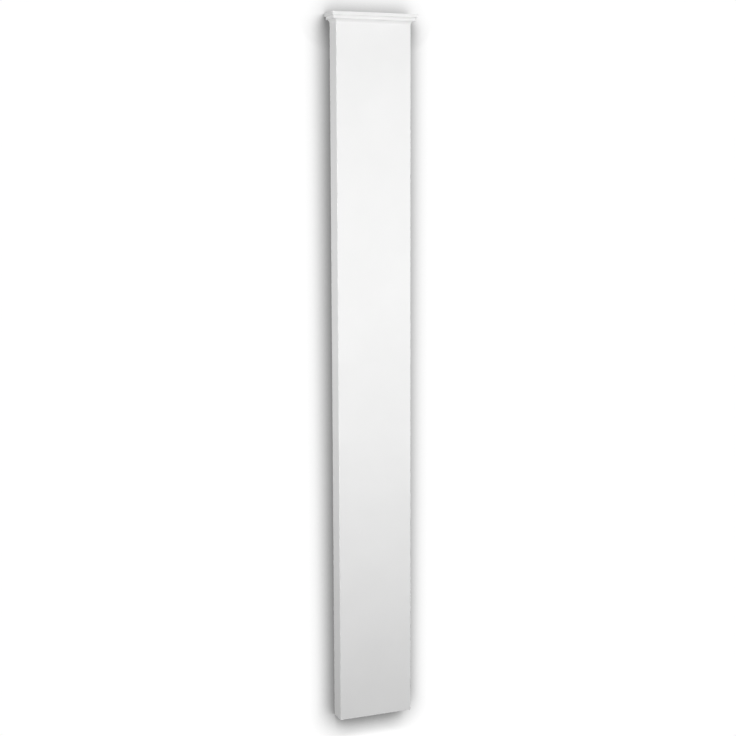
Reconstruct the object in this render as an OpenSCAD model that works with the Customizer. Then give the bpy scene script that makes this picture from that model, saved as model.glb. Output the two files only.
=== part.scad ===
// Wall pilaster shaft with a small cap moulding run round its front and two sides.
// It is one solid moulding: the cap is cast with the shaft.
// X runs across the face, -Y points out of the wall and +Z up. The origin is on the wall
// plane, at the middle of the foot.

/* [Shaft] */
// Overall height, from the square-cut foot to the top of the cap moulding
overall_h = 2000; // [600:10:3000]
// Width of the plain shaft
shaft_w = 220; // [100:1:400]
// How far the face of the shaft stands out from the wall
shaft_d = 50; // [25:1:120]
// Radius on the two upright front edges
arris_r = 1.2; // [0.5:0.1:3]

/* [Cap moulding] */
// How far the top fillet stands out from the shaft
fillet_out = 16; // [14:0.5:40]
// Height of the top fillet
fillet_h = 9.5; // [4:0.5:30]
// Step back from the fillet to the fascia below it
fascia_step = 5; // [2:0.5:8]
// Height of the fascia
fascia_h = 8.5; // [4:0.5:30]
// Narrow ledge between the fascia and the cove
quirk = 1; // [0.5:0.25:3]
// Radius on the level edges of the moulding
edge_r = 0.8; // [0.3:0.1:1.8]

/* [Hidden] */
$fn = 96;

fascia_out = fillet_out - fascia_step;
cove_r = fascia_out - quirk;          // the cove dies into the shaft, so its radius is its reach
fillet_z = overall_h - fillet_h;      // underside of the fillet
fascia_z = fillet_z - fascia_h;       // underside of the fascia
cove_z = fascia_z - cove_r;           // where the cove meets the plain shaft
overrun = 1;                          // how far a run goes past the widest band

// A bar from x = 0 to x = reach, with its two outer corners rounded.
module rounded_bar(reach, height) {
    square([reach - edge_r, height]);
    translate([0, edge_r]) square([reach, height - 2 * edge_r]);
    for (z = [edge_r, height - edge_r])
        translate([reach - edge_r, z]) circle(r = edge_r);
}

// Upright section through one side: shaft, cove, fascia and fillet, one above another.
// The shaft's face is at x = shaft_reach.
module upright_section(shaft_reach) {
    square([shaft_reach, overall_h]);
    difference() {
        translate([0, cove_z]) square([shaft_reach + cove_r, cove_r + edge_r]);
        translate([shaft_reach + cove_r, cove_z]) circle(r = cove_r);
    }
    translate([0, fascia_z]) rounded_bar(shaft_reach + fascia_out, fascia_h + edge_r);
    translate([0, fillet_z]) rounded_bar(shaft_reach + fillet_out, fillet_h);
}

// Plan of a band that stands out from the shaft by out, with its two front corners rounded.
module band_plan(out) {
    half_w = shaft_w / 2 + out;
    reach = shaft_d + out;
    translate([-half_w, arris_r - reach]) square([2 * half_w, reach - arris_r]);
    translate([arris_r - half_w, -reach]) square([2 * (half_w - arris_r), reach]);
    for (side = [-1, 1])
        translate([side * (half_w - arris_r), arris_r - reach]) circle(r = arris_r);
}

// The plans stacked from foot to top. They round the upright edges of each band.
module banded_block() {
    linear_extrude(height = overall_h) band_plan(0);
    translate([0, 0, cove_z]) linear_extrude(height = fillet_z - cove_z) band_plan(fascia_out);
    translate([0, 0, fillet_z]) linear_extrude(height = fillet_h) band_plan(fillet_out);
}

// The section of the two sides, run from the wall past the front.
module side_run() {
    rotate([90, 0, 0]) linear_extrude(height = shaft_d + fillet_out + overrun)
        for (side = [0, 1]) mirror([side, 0]) upright_section(shaft_w / 2);
}

// The section of the front, run from side to side.
module front_run() {
    run = shaft_w + 2 * (fillet_out + overrun);
    translate([run / 2, 0, 0]) rotate([90, 0, -90]) linear_extrude(height = run)
        upright_section(shaft_d);
}

// The two runs meet in mitres at the front corners.
module pilaster_shaft() {
    color("white") intersection() {
        banded_block();
        side_run();
        front_run();
    }
}

pilaster_shaft();
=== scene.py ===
import math

import bpy
import numpy as np
from mathutils import Matrix, Vector


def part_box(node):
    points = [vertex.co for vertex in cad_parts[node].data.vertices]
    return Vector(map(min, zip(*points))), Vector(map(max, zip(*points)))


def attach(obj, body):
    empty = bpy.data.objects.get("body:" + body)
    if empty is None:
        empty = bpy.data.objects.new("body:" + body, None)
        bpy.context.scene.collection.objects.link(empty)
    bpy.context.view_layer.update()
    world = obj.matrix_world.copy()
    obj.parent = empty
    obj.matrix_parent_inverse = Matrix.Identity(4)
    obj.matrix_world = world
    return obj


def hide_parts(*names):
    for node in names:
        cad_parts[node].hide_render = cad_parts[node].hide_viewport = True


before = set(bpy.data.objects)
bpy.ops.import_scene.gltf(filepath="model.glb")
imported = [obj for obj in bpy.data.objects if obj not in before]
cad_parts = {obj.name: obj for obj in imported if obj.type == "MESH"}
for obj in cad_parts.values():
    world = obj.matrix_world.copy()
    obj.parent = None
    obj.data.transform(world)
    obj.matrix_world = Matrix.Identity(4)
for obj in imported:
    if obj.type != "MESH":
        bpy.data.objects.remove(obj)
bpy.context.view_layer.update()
print("frame loaded")


moulding = {
    "arris": 0.0012,          # radius on the upright front edges
    "edge": 0.0008,           # radius on the level edges of the cap
    "inner": 0.0004,          # primer gathered in the cap's inside corner
    "cutEdge": 0.0003,        # edges left by the saw and the sander
    "filletHeight": 0.0095,
    "fasciaHeight": 0.0085,
    "fasciaStep": 0.005,      # fascia back from the fillet
    "quirk": 0.001,           # ledge between fascia and cove
    "cutPoints": 4,           # points on the arc of a cut edge
    "bandPoints": 8,          # on the arcs of the fillet and fascia
    "arrisPoints": 9,         # on the arris of a front corner
    "covePoints": 25,         # on the cove
    "rowStep": 0.012,         # mesh spacing up the shaft
    "columnStep": 0.007,      # mesh spacing round it
    "hold": 0.0002,           # spacing of the rows and columns that keep flats flat beside an arc
    "crease": 40.0,           # degrees: an edge that turns more is sharp
    "wave": 0.00010,          # how far the cast faces wander from flat
    # Each one's strength, waves per metre up and round the shaft, and start in radians.
    "waves": ((1.0, 2.381, 0.0, 0.8),
              (0.7, 3.903, 3.344, 2.1),
              (0.5, -1.401, 7.692, 4.0),
              (0.3, 8.818, -5.495, 5.2)),
    "sideStretch": 0.7,       # how much a metre of depth counts in the way round
    "calmWall": 0.02,         # the waves grow over this distance out from the wall,
    "calmEnd": 0.05,          # and over this one from the foot and from the cap
    "calmCap": 0.04,          # and there are none so far down from the top
}


def turnedLine(corners, pointsPerArc):
    # A line through the corners, where each corner with a radius becomes an arc that touches
    # both of its legs. Each corner is (across, up, radius). An arc starts and ends at
    # radius x tan(half the turn) from its corner, and leans from one leg to the other.
    corners = np.array(corners, float)
    line = [corners[0, :2]]
    for before, here, after in zip(corners[:-2], corners[1:-1], corners[2:]):
        radius = here[2]
        legIn = here[:2] - before[:2]
        legOut = after[:2] - here[:2]
        legIn /= np.linalg.norm(legIn)
        legOut /= np.linalg.norm(legOut)
        side = np.sign(legIn[0] * legOut[1] - legIn[1] * legOut[0])
        turn = math.acos(np.clip(legIn @ legOut, -1, 1))
        start = here[:2] - legIn * radius * math.tan(turn / 2)
        inward = side * np.array([-legIn[1], legIn[0]])
        angle = np.linspace(0, turn, pointsPerArc)[:, None]
        line.extend(start + radius * (legIn * np.sin(angle) + inward * (1 - np.cos(angle))))
    line.append(corners[-1, :2])
    line = np.array(line)
    samePlace = 1e-7   # metres: points closer than this are one
    apart = np.linalg.norm(np.diff(line, axis=0), axis=1) > samePlace
    return line[np.concatenate([[True], apart])]


def shares(length, step, hold):
    # Places along a flat stretch as shares of its length, without its ends: one hold in from
    # each end, and equal parts no longer than step between those two. A stretch shorter than
    # four holds has none.
    if length < 4 * hold:
        return np.array([])
    count = max(1, math.ceil((length - 2 * hold) / step))
    return np.linspace(hold, length - hold, count + 1) / length


def divided(line, step, hold):
    # The same line with the long stretches cut at their shares.
    parts = [line[:1]]
    for start, end in zip(line[:-1], line[1:]):
        share = shares(np.linalg.norm(end - start), step, hold)[:, None]
        parts += [start + (end - start) * share, end[None]]
    return np.concatenate(parts)


def capProfile(height, capOut, m):
    # The section from the sawn foot to the top: plain shaft, quarter-circle cove, fascia, fillet.
    # Column 0 is how far it stands out from the shaft's face, column 1 the height.
    fasciaOut = capOut - m["fasciaStep"]
    filletZ = height - m["filletHeight"]
    fasciaZ = filletZ - m["fasciaHeight"]
    coveRadius = fasciaOut - m["quirk"]
    coveZ = fasciaZ - coveRadius
    cut, edge, inner = m["cutEdge"], m["edge"], m["inner"]
    foot = turnedLine([(-cut, 0, 0), (0, 0, cut), (0, coveZ, 0)], m["cutPoints"])
    angle = np.linspace(0, math.pi / 2, m["covePoints"])[1:]
    cove = np.stack([coveRadius * (1 - np.cos(angle)), coveZ + coveRadius * np.sin(angle)], 1)
    bands = turnedLine([
        (coveRadius, fasciaZ, 0),
        (fasciaOut, fasciaZ, edge),
        (fasciaOut, filletZ, inner),
        (capOut, filletZ, edge),
        (capOut, height, edge),
        (capOut - edge, height, 0),
    ], m["bandPoints"])
    line = np.concatenate([foot, cove, bands[1:]])
    return divided(line, m["rowStep"], m["hold"]), coveZ, fasciaZ


def planPath(out, halfWidth, depth, m):
    # The plan at each height, from the wall round the left side, the front and the right side
    # back to the wall. The front corners are arcs of the arris radius whatever the projection,
    # and the two corners at the wall are arcs of the cut-edge radius.
    halfWide = halfWidth + out[:, None]
    deep = depth + out[:, None]
    arris, cut = m["arris"], m["cutEdge"]
    cutAngle = np.linspace(0, math.pi / 2, m["cutPoints"])[None]
    arrisAngle = np.linspace(0, math.pi / 2, m["arrisPoints"])[None]
    sideShare = shares(depth, m["columnStep"], m["hold"])[None]
    frontShare = 2 * shares(2 * halfWidth, m["columnStep"], m["hold"])[None] - 1
    wallX = halfWide - cut + cut * np.sin(cutAngle)
    wallY = cut - cut * np.cos(cutAngle) + 0 * halfWide
    sideX = halfWide + 0 * sideShare
    sideY = cut + (deep - arris - cut) * sideShare
    arrisX = halfWide - arris + arris * np.cos(arrisAngle)
    arrisY = deep - arris + arris * np.sin(arrisAngle)
    leftX = np.concatenate([wallX, sideX, arrisX], 1)
    leftY = np.concatenate([wallY, sideY, arrisY], 1)
    frontX = (halfWide - arris) * frontShare
    frontY = deep + 0 * frontShare
    x = np.concatenate([-leftX, frontX, leftX[:, ::-1]], 1)
    y = np.concatenate([-leftY, -frontY, -leftY[:, ::-1]], 1)
    return x, y


def gridNormals(points):
    # The cross product of the grid's two directions at each point, as unit vectors.
    along = np.gradient(points, axis=1)
    up = np.gradient(points, axis=0)
    normal = np.cross(along, up)
    return normal / np.linalg.norm(normal, axis=2, keepdims=True)


def castWave(points, m):
    # A slow swell, the sum of sine waves that run up and round the faces. It is 0 at the wall,
    # the foot and the cap, so that the sawn edges and the moulding stay true.
    x, y, z = points[..., 0], points[..., 1], points[..., 2]
    around = x - m["sideStretch"] * y
    swell = sum(strength * np.sin(2 * math.pi * (up * z + across * around) + start)
                for strength, up, across, start in m["waves"])
    fromWall = -y / m["calmWall"]
    fromFoot = z / m["calmEnd"]
    fromCap = (z.max() - m["calmCap"] - z) / m["calmEnd"]
    calm = np.clip(fromWall, 0, 1) * np.clip(fromFoot, 0, 1) * np.clip(fromCap, 0, 1)
    return m["wave"] * swell / sum(row[0] for row in m["waves"]) * calm


def meshPiece(name, points, m):
    # The grid of points as quads, closed by one flat face at the foot, the top and the back.
    rows, columns = points.shape[:2]
    index = np.arange(rows * columns).reshape(rows, columns)
    quads = np.stack([index[:-1, :-1], index[:-1, 1:], index[1:, 1:], index[1:, :-1]], 2)
    cast = quads.reshape(-1, 4).tolist()
    foot = index[0, ::-1].tolist()
    top = index[-1].tolist()
    back = np.concatenate([index[:, 0], index[::-1, -1]]).tolist()
    faces = [*cast, foot, top, back]
    isCut = np.arange(len(faces)) >= len(cast)
    mesh = bpy.data.meshes.new(name)
    mesh.from_pydata(points.reshape(-1, 3), [], faces)
    mesh.polygons.foreach_set("material_index", isCut.astype(np.int32))
    mesh.set_sharp_from_angle(angle=math.radians(m["crease"]))
    mesh.polygons.foreach_set("use_smooth", ~isCut)   # the cut faces stay flat to their edges
    mesh.validate()
    piece = bpy.data.objects.new(name, mesh)
    bpy.context.scene.collection.objects.link(piece)
    return piece


def pilasterPiece(m):
    # Plan and section come from the frame: the foot gives the shaft, the box gives the cap.
    low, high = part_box("pilaster_shaft")
    vertices = np.array([v.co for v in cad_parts["pilaster_shaft"].data.vertices])
    atFoot = 0.001   # metres above the lowest point
    foot = vertices[vertices[:, 2] < low.z + atFoot]
    halfWidth, depth = foot[:, 0].max(), -foot[:, 1].min()
    profile, coveZ, fasciaZ = capProfile(high.z, high.x - halfWidth, m)
    x, y = planPath(profile[:, 0], halfWidth, depth, m)
    z = np.broadcast_to(profile[:, 1:], x.shape)
    points = np.stack([x, y, z], 2)
    points = points + gridNormals(points) * castWave(points, m)[..., None]
    piece = meshPiece("pilasterShaft", points, m)
    return piece, {"halfWidth": halfWidth, "capHalf": high.x, "height": high.z,
                   "coveZ": coveZ, "fasciaZ": fasciaZ}


pilaster, size = pilasterPiece(moulding)
print("shaft made:", len(pilaster.data.polygons), "faces", size)


# The finishes: white primer over the cast skin, and foam where the piece was sawn and sanded.

noiseSpan = (0.3, 0.7)   # nearly all of a noise pattern lies between these

primer = {
    "light": (0.873, 0.873, 0.871, 1),   # the faint cloudiness of a sprayed coat lies between
    "dark": (0.849, 0.849, 0.847, 1),    # these two
    "cloud": 7.0,                        # cloud features per metre
    "satin": (0.54, 0.62),               # roughness, from wetter to drier spray
    "spray": 28.0,                       # wetter and drier patches per metre
    "gloss": 0.25,                       # low, as on a dull undercoat
    "peel": 240.0,                       # orange-peel bumps per metre
    "peelHeight": 0.00012,
    "grain": 900.0,                      # the dried droplets of the spray
    "grainHeight": 0.00002,
}
foam = {
    "pale": (0.83, 0.765, 0.62, 1),      # freshly sanded
    "deep": (0.78, 0.705, 0.545, 1),     # denser patches
    "paintedPitShade": (0.50, 0.43, 0.30, 1),        # painted shade inside an air pit
    "patch": 9.0,                        # dense patches per metre
    "patchSpan": (0.35, 0.65),           # their pattern, from pale to deep
    "streak": (650.0, 650.0, 14.0),      # sanding lines per metre across, into and up the back
    "streakSpan": (0.45, 0.75),          # their pattern, from none to full
    "streakTint": 0.4,                   # how much of the deep colour a full line takes
    "streakHeight": 0.00012,
    "cell": 800.0,                       # foam cells per metre
    "cellHeight": 0.00025,
    "pitPitch": (38.0, 230.0),           # places for large and small air pits per metre
    "pitSize": (0.042, 0.085),           # their largest radius as a share of that spacing
    "pitLip": 0.7,                       # how far in a pit is fully deep, as a share of its radius
    "pitShade": 0.8,                     # how much of the painted pit shade it takes
    "pitDepth": 0.0006,
    "rough": (0.92, 0.62),               # roughness bare and under primer
    "filled": 0.6,                       # how much of the cells and lines the primer fills
    "overspray": 0.006,                  # primer that crept round the edges onto the back
    "ragged": 90.0,                      # bends of its border per metre
    "wander": 0.6,                       # how far the border wanders, as a share of its width
    "endCoat": (0.72, 1.0),              # how much primer covers the sawn ends, least and most
    "endSpan": (0.35, 0.6),              # its pattern, from least to most
    "endSkin": 0.0001,                   # nearer than this to an end's plane is the end itself
}


def newMaterial(name):
    material = bpy.data.materials.new(name)
    material.use_nodes = True
    material.node_tree.nodes.clear()
    return material, material.node_tree.nodes, material.node_tree.links


def feed(links, socket, value):
    # A socket takes the output of another node, or a fixed value.
    if isinstance(value, bpy.types.NodeSocket):
        links.new(value, socket)
    else:
        socket.default_value = value


def worked(material, operation, *values):
    # One Math node on outputs or numbers.
    node = material.node_tree.nodes.new("ShaderNodeMath")
    node.operation = operation
    for socket, value in zip(node.inputs, values):
        feed(material.node_tree.links, socket, value)
    return node.outputs["Value"]


def spread(material, value, fromRange, toRange, curve="LINEAR"):
    # The value's range laid onto another one, and held at its ends.
    node = material.node_tree.nodes.new("ShaderNodeMapRange")
    node.interpolation_type = curve
    names = ("Value", "From Min", "From Max", "To Min", "To Max")
    for socket, number in zip(names, (value, *fromRange, *toRange)):
        feed(material.node_tree.links, node.inputs[socket], number)
    return node.outputs["Result"]


def noise(material, place, scale, detail):
    node = material.node_tree.nodes.new("ShaderNodeTexNoise")
    node.inputs["Scale"].default_value = scale
    node.inputs["Detail"].default_value = detail
    material.node_tree.links.new(place, node.inputs["Vector"])
    return node.outputs["Fac"]


def blend(material, share, first, second):
    # Share 0 gives the first colour and 1 the second.
    node = material.node_tree.nodes.new("ShaderNodeMix")
    node.data_type = "RGBA"
    sockets = [s for s in node.inputs if s.enabled]
    for socket, value in zip(sockets, (share, first, second)):
        feed(material.node_tree.links, socket, value)
    return next(s for s in node.outputs if s.enabled)


def bumped(material, height, distance, under=None):
    # Height from 0 to 1 stands for 0 to distance in metres, over the bumps of an earlier node.
    node = material.node_tree.nodes.new("ShaderNodeBump")
    node.inputs["Distance"].default_value = distance
    material.node_tree.links.new(height, node.inputs["Height"])
    if under is not None:
        material.node_tree.links.new(under, node.inputs["Normal"])
    return node.outputs["Normal"]


def addShader(material, colour, rough, normal):
    nodes, links = material.node_tree.nodes, material.node_tree.links
    shader = nodes.new("ShaderNodeBsdfPrincipled")
    out = nodes.new("ShaderNodeOutputMaterial")
    for name, value in {"Base Color": colour, "Roughness": rough, "Normal": normal}.items():
        links.new(value, shader.inputs[name])
    links.new(shader.outputs["BSDF"], out.inputs["Surface"])
    return shader


def primerColour(material, place, p):
    # Soft clouds between the two whites.
    cloud = noise(material, place, p["cloud"], detail=3)
    share = spread(material, cloud, noiseSpan, (0, 1))
    return blend(material, share, p["dark"], p["light"])


def primedSkin(p):
    # The sprayed coat: faint clouds, drier and wetter patches, and grain over orange peel.
    material, nodes, _ = newMaterial("whitePrimer")
    place = nodes.new("ShaderNodeTexCoord").outputs["Object"]
    spray = noise(material, place, p["spray"], detail=2)
    peel = noise(material, place, p["peel"], detail=1)
    grain = noise(material, place, p["grain"], detail=0)
    rough = spread(material, spray, noiseSpan, p["satin"])
    normal = bumped(material, peel, p["peelHeight"])
    normal = bumped(material, grain, p["grainHeight"], normal)
    shader = addShader(material, primerColour(material, place, p), rough, normal)
    shader.inputs["Specular IOR Level"].default_value = p["gloss"]
    return material


def airPits(material, place, pitch, reach, lip):
    # 1 inside a pit and 0 outside: near the middle of a cell of a 3-D pattern that the surface
    # cuts through, so the pits come in all sizes up to the reach.
    cells = material.node_tree.nodes.new("ShaderNodeTexVoronoi")
    cells.inputs["Scale"].default_value = pitch
    material.node_tree.links.new(place, cells.inputs["Vector"])
    return spread(material, cells.outputs["Distance"], (reach, lip * reach), (0, 1), "SMOOTHSTEP")


def primerCover(material, place, s, f):
    # How much of the sawn and sanded faces the primer hides. On the back it is a ragged border:
    # the distance to the nearest edge, where the half width grows through the cove to the cap's.
    # On the ends it is a thin coat all over.
    split = material.node_tree.nodes.new("ShaderNodeSeparateXYZ")
    material.node_tree.links.new(place, split.inputs["Vector"])
    x, z = split.outputs["X"], split.outputs["Z"]
    ragged = noise(material, place, f["ragged"], detail=3)
    half = spread(material, z, (s["coveZ"], s["fasciaZ"]), (s["halfWidth"], s["capHalf"]))
    sideGap = worked(material, "SUBTRACT", half, worked(material, "ABSOLUTE", x))
    endGap = worked(material, "MINIMUM", z, worked(material, "SUBTRACT", s["height"], z))
    gap = worked(material, "MINIMUM", sideGap, endGap)
    most = f["wander"] * f["overspray"]
    shift = spread(material, ragged, noiseSpan, (-most, most))
    border = spread(material, worked(material, "ADD", gap, shift), (0, f["overspray"]), (1, 0),
                    "SMOOTHSTEP")
    onEnd = worked(material, "LESS_THAN", endGap, f["endSkin"])
    coat = spread(material, ragged, f["endSpan"], f["endCoat"])
    return worked(material, "MAXIMUM", worked(material, "MULTIPLY", onEnd, coat),
                  worked(material, "MULTIPLY", worked(material, "SUBTRACT", 1, onEnd), border))


def sandedFoam(s, f, p):
    # Bare foam with cells, sanding lines and air pits, the pits bumped and darkened with painted
    # shade, under as much primer as covers it.
    material, nodes, links = newMaterial("sandedFoam")
    place = nodes.new("ShaderNodeTexCoord").outputs["Object"]
    stretch = nodes.new("ShaderNodeMapping")
    stretch.inputs["Scale"].default_value = f["streak"]
    links.new(place, stretch.inputs["Vector"])
    streak = noise(material, stretch.outputs["Vector"], scale=1, detail=2)   # scaled already
    cell = noise(material, place, f["cell"], detail=1)
    patch = noise(material, place, f["patch"], detail=3)
    dense = spread(material, patch, f["patchSpan"], (0, 1))
    bare = blend(material, dense, f["pale"], f["deep"])
    lines = spread(material, streak, f["streakSpan"], (0, f["streakTint"]))
    bare = blend(material, lines, bare, f["deep"])
    cover = primerCover(material, place, s, f)
    colour = blend(material, cover, bare, primerColour(material, place, p))
    pits = worked(material, "MAXIMUM", *[airPits(material, place, pitch, reach, f["pitLip"])
                                         for pitch, reach in zip(f["pitPitch"], f["pitSize"])])
    # the pits take painted shade in their colour
    colour = blend(material, worked(material, "MULTIPLY", pits, f["pitShade"]), colour, f["paintedPitShade"])
    filled = worked(material, "MULTIPLY", cover, f["filled"])
    relief = worked(material, "SUBTRACT", 1, filled)
    normal = bumped(material, worked(material, "MULTIPLY", cell, relief), f["cellHeight"])
    normal = bumped(material, worked(material, "MULTIPLY", streak, relief), f["streakHeight"],
                    normal)
    normal = bumped(material, worked(material, "SUBTRACT", 1, pits), f["pitDepth"], normal)
    addShader(material, colour, spread(material, cover, (0, 1), f["rough"]), normal)
    return material


pilaster.data.materials.append(primedSkin(primer))
pilaster.data.materials.append(sandedFoam(size, foam, primer))
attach(pilaster, "root")
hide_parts("pilaster_shaft")
print("finishes made")


view = {
    "place": (-1.498, -3.768, 1.571),   # metres from the middle of the foot, at the wall
    "turn": 21.67,                      # degrees towards +X
    "tip": 7.80,                        # degrees down
    "roll": 0.22,
    "lens": 70.1,                       # mm
    "sensor": 36,                       # mm
    "reach": 50,                        # metres that it sees
}


def addCamera(v):
    data = bpy.data.cameras.new("camera")
    data.lens = v["lens"]
    data.sensor_width = v["sensor"]
    data.clip_end = v["reach"]
    camera = bpy.data.objects.new("camera", data)
    camera.location = v["place"]
    turn = Matrix.Rotation(math.radians(-v["turn"]), 3, "Z")
    tip = Matrix.Rotation(math.radians(90 - v["tip"]), 3, "X")
    roll = Matrix.Rotation(math.radians(-v["roll"]), 3, "Z")
    camera.rotation_euler = (turn @ tip @ roll).to_euler()
    bpy.context.scene.collection.objects.link(camera)
    bpy.context.scene.camera = camera


addCamera(view)
print("camera placed")


studio = {
    "wallGap": 0.0006,              # wall behind the back face
    "floorDrop": 0.30,              # floor below the foot
    "floorLevels": (0.80, 0.97),    # floor glow, with painted shade under the piece, and far from it
    "floorFade": 3.0,               # metres between those two
    "stageSize": 8.0,
    "sky": 0.22,                    # even light from all round
    # Each layer of painted shade on the glowing wall: how far the part's soft painted shade
    # spreads in it, how many degrees above level its imagined light comes from, and its share.
    "paintedShadeLayers": ((0.08, 62.0, 0.6), (0.06, -10.0, 0.4)),
    "shadeSamples": 16,
    "shadeRange": (0.512, 1.232),   # openness from the darkest painted shade to full white
    "shadeLevels": (0.218, 1.264),  # wall glow, with its painted shade, at those two
    "softboxes": {
        # place, aim, width, height, power in watts
        "keyRight": ((1.2, -1.7, 1.1), (0, 0, 1.0), 1.0, 1.0, 21.6),
        "fillLeft": ((-1.7, -1.0, 1.3), (0, 0, 1.1), 1.0, 1.4, 26.4),
        "high": ((0.5, -1.6, 3.0), (0, 0, 1.2), 1.2, 1.0, 13.2),
        "rear": ((0, 3.4, 2.6), (0, 0, 1.0), 0.2, 0.6, 84),
        "overTop": ((0, 0.05, 3.0), (0, 0, 2.0), 0.2, 0.1, 5.0),
        "underFoot": ((0, 0.05, -0.5), (0, 0, 0), 0.2, 0.1, 0.8),
    },
}


def stagePlane(name, corners, material):
    # One flat quad, its front on the side that its corners run round anticlockwise.
    mesh = bpy.data.meshes.new(name)
    mesh.from_pydata(corners, [], [(0, 1, 2, 3)])
    mesh.materials.append(material)
    plane = bpy.data.objects.new(name, mesh)
    bpy.context.scene.collection.objects.link(plane)
    # Only the camera sees it, so that the part is lit all round by the lamps and the sky.
    plane.visible_diffuse = plane.visible_glossy = False
    plane.visible_transmission = plane.visible_shadow = False


def oneSidedGlow(material, level):
    # Shines at the level towards the front of its faces, and is clear from behind.
    nodes, links = material.node_tree.nodes, material.node_tree.links
    glow = nodes.new("ShaderNodeEmission")
    clear = nodes.new("ShaderNodeBsdfTransparent")
    side = nodes.new("ShaderNodeNewGeometry")
    mix = nodes.new("ShaderNodeMixShader")
    out = nodes.new("ShaderNodeOutputMaterial")
    links.new(level, glow.inputs["Strength"])
    links.new(side.outputs["Backfacing"], mix.inputs["Fac"])
    links.new(glow.outputs["Emission"], mix.inputs[1])
    links.new(clear.outputs["BSDF"], mix.inputs[2])
    links.new(mix.outputs["Shader"], out.inputs["Surface"])


def paintedShadeWall(s):
    # A glowing white wall with painted shade, darker where the part would hide some of an imagined
    # light, found by ambient occlusion.
    material, nodes, links = newMaterial("paintedShadeWall")
    openness = 0
    for reach, tilt, share in s["paintedShadeLayers"]:
        tilt = math.radians(tilt)
        shade = nodes.new("ShaderNodeAmbientOcclusion")
        shade.samples = s["shadeSamples"]
        shade.inputs["Distance"].default_value = reach
        shadeAxis = nodes.new("ShaderNodeCombineXYZ")
        shadeAxis.inputs["Y"].default_value = -math.cos(tilt)
        shadeAxis.inputs["Z"].default_value = math.sin(tilt)
        links.new(shadeAxis.outputs["Vector"], shade.inputs["Normal"])
        openness = worked(material, "MULTIPLY_ADD", shade.outputs["AO"], share, openness)
    # the painted shade sets how brightly the wall glows
    level = spread(material, openness, s["shadeRange"], s["shadeLevels"], "SMOOTHSTEP")
    oneSidedGlow(material, level)
    return material


def paintedShadeFloor(s):
    # A glowing floor with painted shade: pale grey under the piece and whiter further off, by the
    # distance from the middle of the foot. From underneath it is clear.
    material, nodes, links = newMaterial("paintedShadeFloor")
    away = nodes.new("ShaderNodeVectorMath")
    away.operation = "LENGTH"
    links.new(nodes.new("ShaderNodeTexCoord").outputs["Object"], away.inputs[0])
    level = spread(material, away.outputs["Value"], (s["floorDrop"], s["floorFade"]),
                   s["floorLevels"], "SMOOTHSTEP")
    oneSidedGlow(material, level)
    return material


def addStage(s):
    half, back, low = s["stageSize"] / 2, s["wallGap"], -s["floorDrop"]
    high = low + s["stageSize"]
    stagePlane("wall", [(-half, back, low), (half, back, low), (half, back, high),
                        (-half, back, high)], paintedShadeWall(s))
    stagePlane("floor", [(-half, -half, low), (half, -half, low), (half, half, low),
                         (-half, half, low)], paintedShadeFloor(s))


def addSoftboxes(s):
    for name, (place, aim, width, height, power) in s["softboxes"].items():
        data = bpy.data.lights.new(name, "AREA")
        data.shape = "RECTANGLE"
        data.size, data.size_y = width, height
        data.energy = power
        lamp = bpy.data.objects.new(name, data)
        lamp.location = place
        lamp.rotation_euler = (Vector(aim) - Vector(place)).to_track_quat("-Z", "Y").to_euler()
        bpy.context.scene.collection.objects.link(lamp)


def addWorld(s):
    # White where the camera looks past the stage, and dimmer where it lights the part.
    world = bpy.data.worlds.new("studio")
    world.use_nodes = True
    nodes, links = world.node_tree.nodes, world.node_tree.links
    nodes.clear()
    seen = nodes.new("ShaderNodeBackground")
    felt = nodes.new("ShaderNodeBackground")
    seen.inputs["Color"].default_value = felt.inputs["Color"].default_value = (1, 1, 1, 1)
    felt.inputs["Strength"].default_value = s["sky"]
    path = nodes.new("ShaderNodeLightPath")
    mix = nodes.new("ShaderNodeMixShader")
    out = nodes.new("ShaderNodeOutputWorld")
    links.new(path.outputs["Is Camera Ray"], mix.inputs["Fac"])
    links.new(felt.outputs["Background"], mix.inputs[1])
    links.new(seen.outputs["Background"], mix.inputs[2])
    links.new(mix.outputs["Shader"], out.inputs["Surface"])
    bpy.context.scene.world = world
    bpy.context.scene.view_settings.view_transform = "Standard"


addStage(studio)
addSoftboxes(studio)
addWorld(studio)
print("studio lit")
